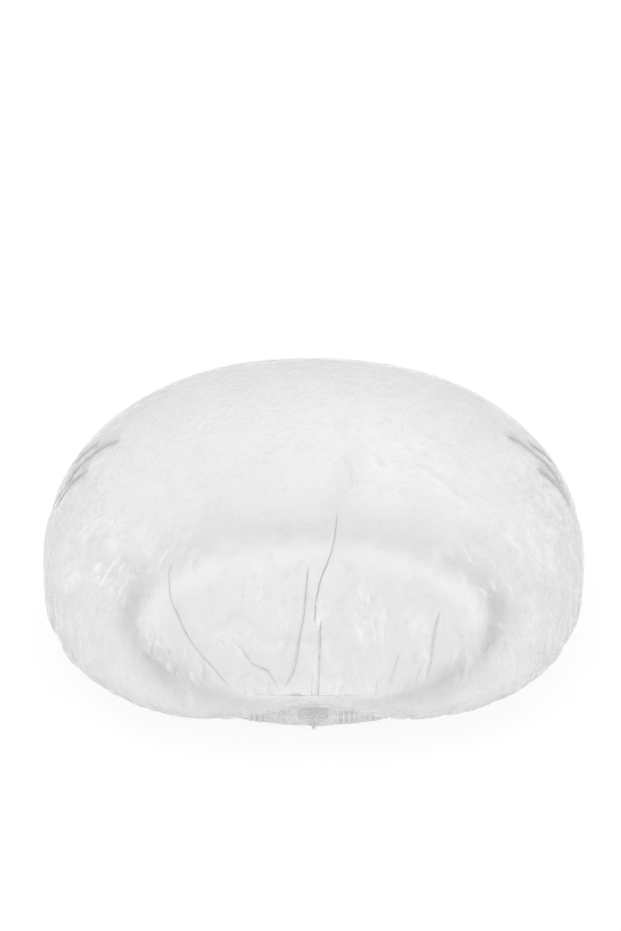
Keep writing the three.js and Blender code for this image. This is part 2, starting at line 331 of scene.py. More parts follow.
def add_object(name, data):
    thing = bpy.data.objects.new(name, data)
    scene.collection.objects.link(thing)
    return thing


camera = bpy.data.cameras.new("photo_view")
camera.sensor_width = SENSOR_SIZE
camera.lens = SENSOR_SIZE * CAMERA_DISTANCE / (PHOTO_HEIGHT_PX * PIXEL_SIZE)
camera.clip_start = 0.05
camera.clip_end = 60
scene.camera = add_object("photo_view", camera)
scene.camera.location = Vector(camera_place * MM)
scene.camera.rotation_euler = (math.pi / 2 - view_elevation, 0, 0)

# Tucks and creases: narrow stretches where the film is folded over itself, or only pinched

FOLD_PULL = 2.3
PINCH_PULL = 0.92
PHOTO_VALLEY = 0.3
SHOULDER_VALLEY = 0.8
CREASE_VALLEY = 0.25
HIDDEN_VALLEY = 0.9
PAINTED_SHOULDER_HALO = 0.42
PAINTED_FOLD_LINE_SHADE = 0.02
CREASE_WIDTH = 0.9
TUCK_MARKS = 60
TUCK_SMOOTHING = 7
TUCK_FADE = 5.0
DOUBLED_PER_SPREAD = 1.34


class Tuck:
    """A fold along a line on the film. lengths run down the film, turns say where it lies there."""

    def __init__(self, turns, lengths, widths, pull, valley, painted_halo=0.0):
        turns, lengths, widths = np.array([turns, lengths, widths])[:, np.argsort(lengths)]
        even = np.linspace(lengths[0], lengths[-1], TUCK_MARKS)
        line = np.interp(even, lengths, turns)
        self.lengths = even
        padded = np.pad(line, TUCK_SMOOTHING // 2, mode="edge")
        self.turns = np.convolve(padded, np.ones(TUCK_SMOOTHING) / TUCK_SMOOTHING, mode="valid")
        self.slopes = np.gradient(self.turns, self.lengths)
        self.spreads = np.interp(even, lengths, widths) / DOUBLED_PER_SPREAD
        self.pull = pull
        self.valley = valley
        self.painted_halo = painted_halo
        self.side = -1 if painted_halo and self.turns.mean() > 0 else 1

    def near(self, length):
        return (length > self.lengths[0] - 2) & (length < self.lengths[-1] + 3)

    def across(self, turn, length, scale):
        """Signed distance across the fold, its half width there, the share of it made, and its slant."""
        apart = whole_turns_off(turn - np.interp(length, self.lengths, self.turns))
        slant = np.arctan(np.interp(length, self.lengths, self.slopes) * scale)
        fade = min((self.lengths[-1] - self.lengths[0]) * 0.3, TUCK_FADE)
        made = smooth(self.lengths[0] - 1, self.lengths[0] + fade, length)
        made = made * (1 - smooth(self.lengths[-1] - fade, self.lengths[-1] + 1, length))
        spread = np.interp(length, self.lengths, self.spreads)
        return apart * scale * np.cos(slant), spread, made, slant


# The front half of the film as a grid, with the pixel that each of its points falls on
SIGHT_TURN = math.pi / 2 + 0.4
HIDDEN_PENALTY = 1e6
grid_turns = np.linspace(-SIGHT_TURN, SIGHT_TURN, 900)
grid_lengths = np.linspace(20, CROWN_LENGTH - 0.5, 420)
turn_grid, length_grid = np.meshgrid(grid_turns, grid_lengths)
grid_points, grid_normals, _, _, _ = crown_frame(turn_grid, level_at(length_grid))
grid_seen = (grid_normals @ view_back) > 0.02
grid_columns, grid_rows = photo_pixel(grid_points)


def film_at_pixel(column, row):
    """The turn and the length down the film of what shows at a pixel of the photograph."""
    apart = (grid_columns - column) ** 2 + (grid_rows - row) ** 2 + np.where(grid_seen, 0, HIDDEN_PENALTY)
    best = np.unravel_index(np.argmin(apart), apart.shape)
    return turn_grid[best], length_grid[best]


def tuck_at_pixels(points, pull, valley, painted_halo=0.0):
    marks = np.array([(*film_at_pixel(column, row), width) for column, row, width in points])
    return Tuck(marks[:, 0], marks[:, 1], marks[:, 2], pull, valley, painted_halo)


def hidden_tuck(place, lean, reach, doubled):
    lengths = np.linspace(CROWN_LENGTH - reach, CROWN_LENGTH - 3, 8)
    climbed = (CROWN_LENGTH - lengths) / reach
    bend = 0.006 * np.sin(climbed * 5 + place * 40)
    widths = doubled * (0.35 + 0.65 * np.sin(math.pi * np.clip(climbed, 0, 1) ** 0.6))
    return Tuck((place + lean * climbed + bend) * TURN, lengths, widths, FOLD_PULL, HIDDEN_VALLEY)


tucks = [tuck_at_pixels(points, FOLD_PULL, PHOTO_VALLEY) for points in PHOTO_TUCKS]
tucks += [tuck_at_pixels(points, PINCH_PULL, SHOULDER_VALLEY, PAINTED_SHOULDER_HALO) for points in SHOULDER_TUCKS]
for points in PHOTO_CREASES:
    tucks.append(tuck_at_pixels([(*pixel, CREASE_WIDTH) for pixel in points], PINCH_PULL, CREASE_VALLEY))
tucks += [hidden_tuck(*shares) for shares in HIDDEN_TUCK_SHARES]

VALLEY_WIDTH = 4.0
PAINTED_HALO_WIDTH = 7.0
TUCK_STACK = 0.3
# where a fold's two painted dark edge lines lie, and how wide they are, as shares of its spread
EDGE_PLACE = 0.53
EDGE_WIDTH = 0.3


def tuck_moves(turn, length, scale):
    """How far the tucks move the film sideways, down and outward, and how much painted shade a point gets
    from the fold edges and the shoulder halos.
    """
    sideways, down, outward, edge = np.zeros((4, len(turn)))
    for tuck in tucks:
        inside = tuck.near(length)
        across, spread, made, slant = tuck.across(turn[inside], length[inside], scale[inside])
        share = across / spread
        bell = np.exp(-share ** 2)
        move = -tuck.pull * made * across * bell
        sideways[inside] += move * np.cos(slant)
        down[inside] += -move * np.sin(slant)
        outward[inside] -= tuck.side * TUCK_STACK * made * share * np.exp((1 - share ** 2) / 2)
        outward[inside] -= tuck.valley * made * np.exp(-(across / (VALLEY_WIDTH + spread)) ** 2)
        # painted shade: thin dark lines along a fold's edges, and a wide painted halo beside the shoulder
        # folds
        painted_shade_lines = PAINTED_FOLD_LINE_SHADE * np.exp(-((np.abs(share) - EDGE_PLACE) / EDGE_WIDTH) ** 2)
        dense = np.maximum(painted_shade_lines, tuck.painted_halo * np.exp(-(across / PAINTED_HALO_WIDTH) ** 2))
        edge[inside] = np.maximum(edge[inside], made * dense)
    return sideways, down, outward, edge


def tuck_cell(turn, length, scale, cell):
    """The mesh size that the nearest tuck asks for at points whose triangles are cell wide."""
    wanted = np.full_like(turn, 99.0)
    for tuck in tucks:
        inside = tuck.near(length)
        across, spread, _, _ = tuck.across(turn[inside], length[inside], scale[inside])
        close = np.abs(across) < 1.5 * spread + 0.6 * cell[inside]
        wanted[inside] = np.where(close, np.minimum(wanted[inside], 0.62 * spread + 0.12), wanted[inside])
    return wanted


# Gathers at the hem, shared by the crown and the hem so that they meet

CALM_HALF_ANGLE = (SEAL_LENGTH / 2 + 2.5) / LOOP_HALF_WIDTH
CALM_FADE_ANGLE = 5.0 / LOOP_HALF_WIDTH
SHARE_BEHIND_SEAL = 0.35
SHARE_IN_FRONT = 0.5
FRONT_TURN = 0.35
FULL_PLEATS_TURN = 0.8

# the pleats' wander, swell and broad waves: size, wavelength down the hem, cells round it and seed
PLEAT_WANDER = ((2.2, 30, 37, 11), (0.7, 12, 105, 12))
PLEAT_SWELL = ((0.5, 22, 83, 13),)
HEM_WAVES = ((1.0, 40, 78, 14), (0.6, 30, 150, 15))


def pleat_share(turn):
    """How deep the pleats are: flat behind the seal and shallow beside it, where the film is pulled tight."""
    from_seal = smooth(CALM_HALF_ANGLE, CALM_HALF_ANGLE + CALM_FADE_ANGLE, np.abs(turn))
    from_front = smooth(FRONT_TURN, FULL_PLEATS_TURN, np.abs(turn))
    return lerp(SHARE_BEHIND_SEAL, 1.0, from_seal) * lerp(SHARE_IN_FRONT, 1.0, from_front)


def hem_gather(turn, along, depth, lean, coarse):
    """Outward and sideways moves of the fine pleats. along runs down the hem in mm."""
    phase = HEM_PLEATS * turn + waves(turn, PLEAT_WANDER, along)
    swell = 0.95 + waves(turn, PLEAT_SWELL, along)
    outward = depth * swell * zigzag(phase)
    sideways = -lean * swell * np.sin(2 * phase)
    return outward + coarse * waves(turn, HEM_WAVES, along), sideways


# Rings of points round the cap, joined from one to the next

def ring_faces(first, count, next_first, next_count):
    """Triangles between two rings, the second with as many points or twice as many."""
    here = np.arange(count)
    after = (here + 1) % count
    if next_count == count:
        return chain(
            together(first + here, next_first + here, next_first + after),
            together(first + here, next_first + after, first + after),
        )
    fine = 2 * here
    fine_mid = fine + 1
    fine_end = (fine + 2) % next_count
    return chain(
        together(first + here, next_first + fine, next_first + fine_mid),
        together(first + here, next_first + fine_mid, first + after),
        together(first + after, next_first + fine_mid, next_first + fine_end),
    )


def ring_grid(rows):
    """Turns, lengths and triangles for rows of (length down the film, points in the ring)."""
    turns = []
    lengths = []
    triangles = []
    first = 0
    for number, (length, count) in enumerate(rows):
        turns.append(-math.pi + TURN * np.arange(count) / count)
        lengths.append(np.full(count, float(length)))
        if number + 1 < len(rows):
            triangles.append(ring_faces(first, count, first + count, rows[number + 1][1]))
        first += count
    return chain(*turns), chain(*lengths), chain(*triangles)


def refine(turns, lengths, triangles, wanted):
    """Splits the wanted triangles in four, and their neighbours so that no gap opens."""
    sides = chain(triangles[:, [0, 1]], triangles[:, [1, 2]], triangles[:, [2, 0]])
    names = np.sort(sides, axis=1)
    edges, place = np.unique(names, axis=0, return_inverse=True)
    place = place.reshape(3, -1).T
    split = np.zeros(len(edges), bool)
    split[place[wanted].ravel()] = True
    # a triangle with two split sides gets all three, and after six rounds hardly any has two
    for _ in range(6):
        two = split[place].sum(axis=1) == 2
        if not two.any():
            break
        split[place[two].ravel()] = True
    number = np.full(len(edges), -1)
    number[split] = len(turns) + np.arange(split.sum())
    ends = edges[split]
    turn_step = whole_turns_off(turns[ends[:, 1]] - turns[ends[:, 0]])
    turns = chain(turns, turns[ends[:, 0]] + turn_step / 2)
    lengths = chain(lengths, (lengths[ends[:, 0]] + lengths[ends[:, 1]]) / 2)
    mids = number[place]
    marked = split[place].sum(axis=1)
    whole = triangles[marked == 0]
    a, b, c = triangles[marked == 3].T
    ab, bc, ca = mids[marked == 3].T
    quarters = ((a, ab, ca), (ab, b, bc), (ca, bc, c), (ab, bc, ca))
    parts = [whole] + [together(*quarter) for quarter in quarters]
    for side in range(3):
        order = [side, (side + 1) % 3, (side + 2) % 3]
        one = (marked == 1) & (mids[:, side] >= 0)
        start, end, top = triangles[one][:, order].T
        mid = mids[one][:, side]
        parts += [together(start, mid, top), together(mid, end, top)]
        # what still has two split sides after the loop is fanned from their shared corner
        two = (marked == 2) & (mids[:, side] >= 0) & (mids[:, order[2]] >= 0)
        top, start, end = triangles[two][:, order].T
        to_start = mids[two][:, side]
        to_end = mids[two][:, order[2]]
        parts += [together(top, to_start, to_end), together(to_start, start, end)]
        parts += [together(to_start, end, to_end)]
    return turns, lengths, chain(*parts)


SHEET_RADIUS = 264.0
GRAIN_RADIUS = 100.0
GRAIN_STRETCH = 6.5


def flat_place(turn, length):
    """The film's place in its flat round, as UV from 0 to 1."""
    share = length / SHEET_RADIUS / 2
    return together(0.5 + share * np.sin(turn), 0.5 - share * np.cos(turn))


def grain_place(turn, length):
    """A place in which marks drawn long run up and down the film, with no seam round the cap."""
    across, facing = GRAIN_RADIUS * np.sin(turn), -GRAIN_RADIUS * np.cos(turn)
    return together(across, facing, length / GRAIN_STRETCH)


def make_mesh(name, points, triangles, film_place, milk_and_painted_shade=None, grain=None):
    """A smooth mesh object from points in millimetres, with the film's flat layout as its UV map."""
    mesh = bpy.data.meshes.new(name)
    mesh.vertices.add(len(points))
    mesh.vertices.foreach_set("co", (points * MM).astype(np.float32).ravel())
    mesh.loops.add(3 * len(triangles))
    mesh.loops.foreach_set("vertex_index", triangles.astype(np.int32).ravel())
    mesh.polygons.add(len(triangles))
    mesh.polygons.foreach_set("loop_start", np.arange(0, 3 * len(triangles), 3, dtype=np.int32))
    mesh.polygons.foreach_set("loop_total", np.full(len(triangles), 3, dtype=np.int32))
    mesh.update(calc_edges=True)
    mesh.validate()
    mesh.polygons.foreach_set("use_smooth", np.ones(len(mesh.polygons), bool))
    layer = mesh.uv_layers.new(name="film")
    layer.uv.foreach_set("vector", film_place[triangles.ravel()].astype(np.float32).ravel())
    # the crown's and hem's painted shade, or the welded patch's own milkiness, kept on the points
    if milk_and_painted_shade is not None:
        store = mesh.attributes.new("milk_and_painted_shade", "FLOAT", "POINT")
        store.data.foreach_set("value", milk_and_painted_shade.astype(np.float32))
    if grain is not None:
        store = mesh.attributes.new("grain", "FLOAT_VECTOR", "POINT")
        store.data.foreach_set("vector", grain.astype(np.float32).ravel())
    thing = add_object(name, mesh)
    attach(thing, "root")
    return thing


def give_wall(sheet):
    """Makes a thin closed wall of a sheet's single layer."""
    wall = sheet.modifiers.new("wall", "SOLIDIFY")
    wall.thickness = FILM_WALL * MM
    wall.offset = 0


# The crown: one sheet from the top to the ring where the hem begins

RING_COUNT = 1920


def crown_rows():
    """Rings as (length down the film, points in the ring), coarse at the top and finest at the hem."""
    rows = []
    length = 3.0
    while length < CROWN_LENGTH - 1.0:
        left = CROWN_LENGTH - length
        if length < 26:
            count, step = 60, 3.4
        elif length < 70:
            count, step = 120, 3.2
        elif left > 78:
            count, step = 240, 3.0
        elif left > 56:
            count, step = 480, 2.4
        elif left > 6:
            count, step = 960, 2.1
        else:
            count, step = RING_COUNT, 1.5
        rows.append((length, count))
        length += step
    rows.append((CROWN_LENGTH, RING_COUNT))
    return rows


# Dents of handled film: depth, width and seed. They sink in by DENT_SINK and stop short of the hem
DENTS = ((0.34, 62, 21), (0.2, 27, 22))
DENT_SINK = 0.3
DENT_FADE = 30

# Gathers above the hem: how quiet they are in front, over what turn, and how they swell and wander
FRONT_QUIET = 0.8
FRONT_QUIET_TURN = 0.66
GATHER_MEAN = 0.5
GATHER_LIMITS = (0.06, 1.3)
GATHER_SWELL = 1.1
SWELL_LENGTH = 45
GATHER_WANDER = 2.6
WANDER_LENGTH = 60
GATHER_LEAN = 0.35
GATHER_LIFT = 0.15

# How far above the hem its pleats reach, and where the film stops moving as the hem does
REACH_MEAN = 2.6
REACH_LIMITS = (1.2, 6.5)
PLEAT_REACH = ((3.4, 1, 140, 55),)
HEM_LEAD = (0.5, 5.0)


def crown_points(turn, length):
    point, normal, sideways, down, scale = crown_frame(turn, level_at(length))
    above = CROWN_LENGTH - length
    flat_x = length * np.sin(turn)
    flat_y = -length * np.cos(turn)
    dents = sum(depth * noise(flat_x / width, flat_y / width, seed) for depth, width, seed in DENTS)
    moved = (dents - DENT_SINK) * smooth(0, DENT_FADE, above)

    # the fold lines of gathers that run up from the hem and broaden as they climb
    side = np.zeros_like(turn)
    quiet = 1 - FRONT_QUIET * np.exp(-(turn / FRONT_QUIET_TURN) ** 4)
    for number, (count, depth, start, peak, end) in enumerate(PLEAT_LEVELS):
        rise = smooth(start, peak, above) * (1 - smooth(peak, end, above))
        swell = GATHER_SWELL * round_noise(turn, above / SWELL_LENGTH, count // 2, 51 + number)
        swell = np.clip(GATHER_MEAN + swell, *GATHER_LIMITS)
        wander = GATHER_WANDER * round_noise(turn, above / WANDER_LENGTH, count // 3, 61 + number)
        phase = count * turn + wander
        share = quiet if number > 0 else 1.0
        moved += depth * rise * swell * share * (billow(phase) + GATHER_LIFT)
        side += -GATHER_LEAN * depth * rise * swell * share * np.sin(phase)

    # the hem's own pleats, dying away above it, some much sooner than others
    fade = np.exp(-above / np.clip(REACH_MEAN + waves(turn, PLEAT_REACH), *REACH_LIMITS))
    pleat, pleat_side = hem_gather(turn, 0 * turn, *HEM_PROFILE[0][2:])
    calm = pleat_share(turn)
    pleat_out = pleat * fade * calm
    side += pleat_side * fade * calm

    # edge is the painted shade along the folds' edges and on the shoulders
    tuck_side, tuck_down, tuck_out, edge = tuck_moves(turn, length, scale)
    outward, loop_side = loop_frame(turn)
    # next to the hem the film moves as the hem does, and further up along its own normal
    lead = smooth(*HEM_LEAD, above)[:, None]
    direction = unit(lerp(outward, normal, lead))
    round_way = unit(lerp(loop_side, sideways, lead))
    point = point + direction * (moved + tuck_out + pleat_out)[:, None]
    point = point + round_way * (side + tuck_side)[:, None] + down * tuck_down[:, None]
    return point, np.clip(edge, 0, 1)


def make_crown():
    turns, lengths, triangles = ring_grid(crown_rows())
    for _ in range(3):
        _, _, _, _, scale = crown_frame(turns, level_at(lengths))
        corners = triangles[:, [1, 2, 0]]
        turn_step = whole_turns_off(turns[corners] - turns[triangles]) * scale[triangles]
        reach = np.hypot(turn_step, lengths[corners] - lengths[triangles]).max(axis=1)
        cell = np.zeros(len(turns))
        np.maximum.at(cell, triangles.ravel(), np.repeat(reach, 3))
        wanted = tuck_cell(turns, lengths, scale, cell)
        turns, lengths, triangles = refine(turns, lengths, triangles, reach > wanted[triangles].min(axis=1))
    points, milk_and_painted_shade = crown_points(turns, lengths)
    # the top is closed by one point in the middle of the first ring
    first_count = crown_rows()[0][1]
    top = len(points)
    ring = np.arange(first_count)
    fan = together(np.full(first_count, top), ring, (ring + 1) % first_count)
    middle = points[:first_count].mean(axis=0) + [0, 0, 0.02]
    places = chain(flat_place(turns, lengths), [[0.5, 0.5]])
    grain = chain(grain_place(turns, lengths), [[0, 0, 0]])
    points = chain(points, [middle])
    return make_mesh("crown_sheet", points, chain(fan, triangles), places, chain(milk_and_painted_shade, [0]), grain)


# The hem: the rest of the same film, down the outer leaf, round the frill's foot and up inside

HEM_PROFILE = (
    # outward offset, height, depth of the pleats, how far they lean over, size of the broad waves
    (2.51, 12.3, 0.85, 0.75, 0.0), (2.5, 10.9, 0.85, 0.8, 0.0), (2.3, 9.6, 0.7, 0.85, 0.0),
    (2.5, 8.4, 0.85, 0.8, 0.05), (2.6, 7.3, 0.9, 0.8, 0.1), (2.5, 6.2, 0.85, 0.8, 0.15),
    (2.3, 5.0, 0.7, 0.85, 0.15), (2.4, 3.7, 0.75, 0.8, 0.25), (2.6, 2.3, 0.75, 0.75, 0.4),
    (2.8, 0.95, 0.6, 0.75, 0.55), (2.75, 0.42, 0.5, 0.75, 0.6), (2.5, 0.95, 0.6, 0.75, 0.5),
    (2.0, 2.1, 0.75, 0.75, 0.4), (0.9, 3.0, 0.8, 0.75, 0.25), (-0.9, 3.4, 0.8, 0.75, 0.2),
    (-2.1, 4.2, 0.75, 0.8, 0.2), (-2.3, 5.0, 0.7, 0.85, 0.15), (-2.6, 6.4, 0.85, 0.8, 0.1),
    (-2.6, 8.2, 0.85, 0.8, 0.1), (-2.3, 9.6, 0.7, 0.85, 0.1), (-2.7, 11.2, 0.9, 0.75, 0.3),
    (-2.9, 12.8, 0.8, 0.7, 0.6), (-3.0, 14.0, 0.7, 0.7, 0.9),
)
HEM_ROW_STEP = 1.25
FRILL_TOP = 3.4
FRILL_FOOT = 1.2
FRILL_PLEATS = 0.5
SCALLOP_LIFT = 0.3
SCALLOP_MOST = 1.2
SCALLOP = ((0.3, 1, 62, 16), (0.2, 1, 130, 17))
RAGGED_EDGE = ((1.1, 1, 16, 18), (0.5, 1, 60, 19))
RAGGED_REACH = 6
FLOOR_CLEARANCE = 0.12

# Painted shade on the gathered band at the hem: everywhere in front, beside the seal, on crests and along the
# threads
FRONT_PAINTED_SHADE = 0.23
BESIDE_PAINTED_SHADE = 0.17
CREST_PAINTED_SHADE = 0.03
THREAD_PAINTED_SHADE = 0.08
THREAD_WIDTH = 0.7
# where that painted shade fades: to the sides, towards the crown's edge, and behind the outer leaf
SIDE_FADE = (1.2, 2.1)
EDGE_FADE = (9.4, 11.4)
OUTER_LEAF_SHARES = (0.42, 0.5)

# the profile at even distances along it, a list for each of its columns
hem_columns = np.array(HEM_PROFILE).T
hem_distances = chain([0], np.cumsum(np.hypot(*np.diff(hem_columns[:2], axis=1))))
HEM_WIDTH = float(hem_distances[-1])
hem_lengths = np.linspace(0, HEM_WIDTH, round(HEM_WIDTH / HEM_ROW_STEP) + 1)
hem_marks = [np.interp(hem_lengths, hem_distances, column) for column in hem_columns]


def hem_points(turn, length):
    along = length - CROWN_LENGTH
    offset, height, depth, lean, coarse = (np.interp(along, hem_lengths, column) for column in hem_marks)
    frill = smooth(FRILL_TOP, FRILL_FOOT, height)
    calm = np.maximum(pleat_share(turn), FRILL_PLEATS * frill)
    outward_move, sideways_move = hem_gather(turn, along * smooth(0, 4, along), depth, lean, coarse)
    outward, loop_side = loop_frame(turn)
    point = plan_point(turn, LOOP_HALF_WIDTH + offset, LOOP_HALF_DEPTH + offset, 2, height)
    point = point + outward * (outward_move * calm)[:, None] + loop_side * (sideways_move * calm)[:, None]
    point[:, 2] += np.clip(SCALLOP_LIFT + waves(turn, SCALLOP), 0.0, SCALLOP_MOST) * frill
    point[:, 2] += waves(turn, RAGGED_EDGE) * smooth(HEM_WIDTH - RAGGED_REACH, HEM_WIDTH, along)
    point[:, 2] = np.maximum(point[:, 2], FLOOR_CLEARANCE)
    # painted shade for the band's dark look, kept to the front so that the back of the hem stays clear
    facing = (1 - smooth(*SIDE_FADE, np.abs(turn))) * (1 - smooth(*EDGE_FADE, height))
    facing = facing * (1 - smooth(*OUTER_LEAF_SHARES, along / HEM_WIDTH))
    painted_band_shade = FRONT_PAINTED_SHADE + BESIDE_PAINTED_SHADE * smooth(FRONT_TURN, 0.7, np.abs(turn))
    painted_band_shade = painted_band_shade + CREST_PAINTED_SHADE * np.abs(np.clip(outward_move / np.maximum(depth, 0.1), -1, 1)) ** 3
    threads = sum(np.exp(-((height - level) / THREAD_WIDTH) ** 2) for level in STRAND_HEIGHTS)
    return point, facing * (painted_band_shade + THREAD_PAINTED_SHADE * threads)


def make_hem():
    rows = [(CROWN_LENGTH + along, RING_COUNT) for along in hem_lengths]
    turns, lengths, triangles = ring_grid(rows)
    points, milk_and_painted_shade = hem_points(turns, lengths)
    places = flat_place(turns, lengths)
    return make_mesh("hem_sheet", points, triangles, places, milk_and_painted_shade, grain_place(turns, lengths))


crown = make_crown()
hem = make_hem()
give_wall(crown)
give_wall(hem)

# Elastic: each strand one turn, its ends lapped side by side at the join

STRAND_STEPS = 900
STRAND_SIDES = 14
STRAND_RIPPLES = 420
STRAND_RIPPLE_DEPTH = 0.035
STRAND_TREMBLE = 0.07
STRAND_LIFT = 0.08
TAIL_SIDES = 28
TAIL_STEPS = 40
TAIL_SWAY = 0.12
TAIL_ARCH = 0.15
TAIL_DROOP = 0.3


def tube(name, centre, radii, sides):
    """A closed tube round a line of points that never runs straight up, with a point at each end."""
    ahead = unit(np.gradient(centre, axis=0))
    first = unit(np.cross(ahead, [0, 0, 1]))
    second = np.cross(ahead, first)
    angle = TURN * np.arange(sides) / sides
    wall = (
        centre[:, None]
        + radii[:, None, None] * np.cos(angle)[None, :, None] * first[:, None]
        + radii[:, None, None] * np.sin(angle)[None, :, None] * second[:, None]
    )
    rings = len(centre)
    points = chain(wall.reshape(-1, 3), centre[:1], centre[-1:])
    triangles = [ring_faces(ring * sides, sides, (ring + 1) * sides, sides) for ring in range(rings - 1)]
    here = np.arange(sides)
    after = (here + 1) % sides
    last = (rings - 1) * sides
    triangles.append(together(np.full(sides, rings * sides), here, after))
    triangles.append(together(np.full(sides, rings * sides + 1), last + after, last + here))
    share = np.linspace(0, 1, rings)
    place = together(*np.broadcast_arrays(share[:, None], angle[None, :] / TURN)).reshape(-1, 2)
    return make_mesh(name, points, chain(*triangles), chain(place, [[0, 0.5], [1, 0.5]]))


def make_strand(name, height, seed):
    share = np.linspace(0, 1, STRAND_STEPS)
    turns_made = 1 + STRAND_LAP / LOOP_HALF_WIDTH / TURN
    turn = (share - 0.5) * turns_made * TURN + math.pi
    tremble = waves(turn, [(STRAND_TREMBLE, 1, 120, seed)])
    centre = loop_point(turn, (share - 0.5) * STRAND_SPREAD + tremble, height)
    centre[:, 2] += waves(turn, [(STRAND_LIFT, 1, 90, seed + 1)])
    ripple = STRAND_RIPPLE_DEPTH * np.sin(STRAND_RIPPLES * turn)
    ends = np.sqrt(np.clip(np.minimum(share, 1 - share) * STRAND_STEPS / 1.5, 0.1, 1))
    radii = STRAND_DIAMETER / 2 * (1 - STRAND_RIPPLE_DEPTH + ripple) * ends
    return tube(name, centre, radii, STRAND_SIDES)


strand_lower = make_strand("elastic_lower", STRAND_HEIGHTS[0], 71)
strand_upper = make_strand("elastic_upper", STRAND_HEIGHTS[1], 75)

# The pressed patch at the join: a thin welded plate with a small diamond knurl

SEAL_WALL = 0.62
KNURL_PITCH = 1.55
KNURL_DEPTH = 0.42
SEAL_STEP = 0.11
# how far the outline is pulled in at its corners, how sharply, and the width of its thin rim
SIDE_PULL = 0.35
END_PULL = 0.3
CORNER_POWER = 6
RIM_WIDTH = 0.6
# slow unevenness of the pressed face
UNEVEN_DEPTH = 0.12
UNEVEN_WIDTH = 2.6
# where the press bit hardest, a little to one side: from and to across, and from a height up
BITE_LEFT = -2.6
BITE_RIGHT = 6.6
BITE_FOOT = 4.6
BITE_EDGE = 1.2
BITE_FOOT_EDGE = 0.8
# how milky it is where lightly pressed and hard pressed, how much less at a knurl's point, and behind
LIGHT_MILK = 0.45
HARD_MILK = 1.1
POINT_MILK_LOSS = 0.8
BACK_MILK = 0.5


def make_seal():
    across = int(SEAL_LENGTH / SEAL_STEP)
    up = int(SEAL_HEIGHT / SEAL_STEP)
    grid = np.meshgrid(np.linspace(-0.5, 0.5, across + 1), np.linspace(0, 1, up + 1))
    u, v = (part.ravel() for part in grid)
    x = u * SEAL_LENGTH
    z = v * SEAL_HEIGHT
    # the outline is pulled in at its corners and wavers a little, as a hot press leaves it
    half = SEAL_LENGTH / 2
    side_in = SIDE_PULL * (2 * np.abs(v - 0.5)) ** CORNER_POWER
    x = x * (1 - side_in / half) + 0.12 * noise(z / 1.3, 0 * z + 0.3, 81) * (np.abs(x) / half) ** 4
    end_in = END_PULL * (2 * np.abs(u)) ** CORNER_POWER
    wave_in = 0.14 * noise(x / 1.5, 0 * x + 4.3, 82)
    z = SEAL_BASE + SEAL_HEIGHT / 2 + (z - SEAL_HEIGHT / 2) * (1 - 2 * (end_in - wave_in) / SEAL_HEIGHT)
    diagonal = math.pi / KNURL_PITCH
    pattern = np.sin(diagonal * (x + z)) * np.sin(diagonal * (x - z))
    dimple = smooth(0.15, 0.85, np.abs(pattern))
    bite = smooth(BITE_LEFT, BITE_LEFT + BITE_EDGE, x) * smooth(BITE_RIGHT, BITE_RIGHT - BITE_EDGE, x)
    bite = bite * smooth(BITE_FOOT, BITE_FOOT + BITE_FOOT_EDGE, z)
    rim = smooth(0, RIM_WIDTH, np.minimum(half - np.abs(x), (0.5 - np.abs(v - 0.5)) * SEAL_HEIGHT))
    uneven = UNEVEN_DEPTH * noise(x / UNEVEN_WIDTH, z / UNEVEN_WIDTH, 83)
    raised = KNURL_DEPTH * dimple * rim + uneven * rim
    thick = SEAL_WALL * np.sqrt(np.clip(rim, 0.05, 1))
    turn = x / LOOP_HALF_WIDTH
    back = CASING_FACE + SEAL_GAP
    front_points = loop_point(turn, back + thick + raised, z)
    back_points = loop_point(turn, back + 0.05 * noise(x / 2, z / 2, 84) + 0 * x, z)
    points = chain(front_points, back_points)
    number = np.arange(len(u)).reshape(up + 1, across + 1)
    a, b = number[:-1, :-1].ravel(), number[:-1, 1:].ravel()
    c, d = number[1:, 1:].ravel(), number[1:, :-1].ravel()
    front = chain(together(a, b, c), together(a, c, d))
    behind = len(u)
    edge = chain(number[0, :-1], number[:-1, -1], number[-1, :0:-1], number[:0:-1, 0])
    after = np.roll(edge, -1)
    triangles = chain(
        front,
        front[:, ::-1] + behind,
        together(edge, edge + behind, after + behind),
        together(edge, after + behind, after),
    )
    milk = lerp(LIGHT_MILK, HARD_MILK - POINT_MILK_LOSS * dimple * rim, bite)
    pressed = chain(milk, 0 * milk + BACK_MILK)
    place = np.tile(together(u + 0.5, v), (2, 1))
    return make_mesh("welded_patch", points, triangles, place, pressed)


def make_tail():
    """The elastic's cut end below the patch: a short stub that narrows and is rounded at its tip."""
    share = np.linspace(0, 1, TAIL_STEPS)
    run = share * TAIL_LENGTH
    left = TAIL_LENGTH - run
    radius = lerp(TAIL_ROOT_RADIUS, TAIL_TIP_RADIUS, smooth(0, 0.75, share))
    radius = radius * np.sqrt(np.clip(1 - (1 - np.clip(left / TAIL_TIP_RADIUS, 0, 1)) ** 2, 0.01, 1))
    radius = radius * (1 + 0.05 * np.sin(run * 7.5) + 0.04 * noise(run * 1.7, 0 * run + 0.5, 91))
    root = loop_point(np.zeros(1), np.array([CASING_FACE + SEAL_GAP]), TAIL_HEIGHT)[0]
    centre = together(
        root[0] + TAIL_SWAY * np.sin(share * 3),
        root[1] - run,
        root[2] + TAIL_ARCH * np.sin(share * 3) - TAIL_DROOP * share ** 2,
    )
    return tube("elastic_end", centre, radius, TAIL_SIDES)


seal = make_seal()
tail = make_tail()

# Materials


def fill(made, inputs):
    """Sets a node's inputs, and links those whose value is another node's output."""
    for name, value in inputs.items():
        if isinstance(value, bpy.types.NodeSocket):
            made.id_data.links.new(value, made.inputs[name])
        else:
            made.inputs[name].default_value = value
    return made


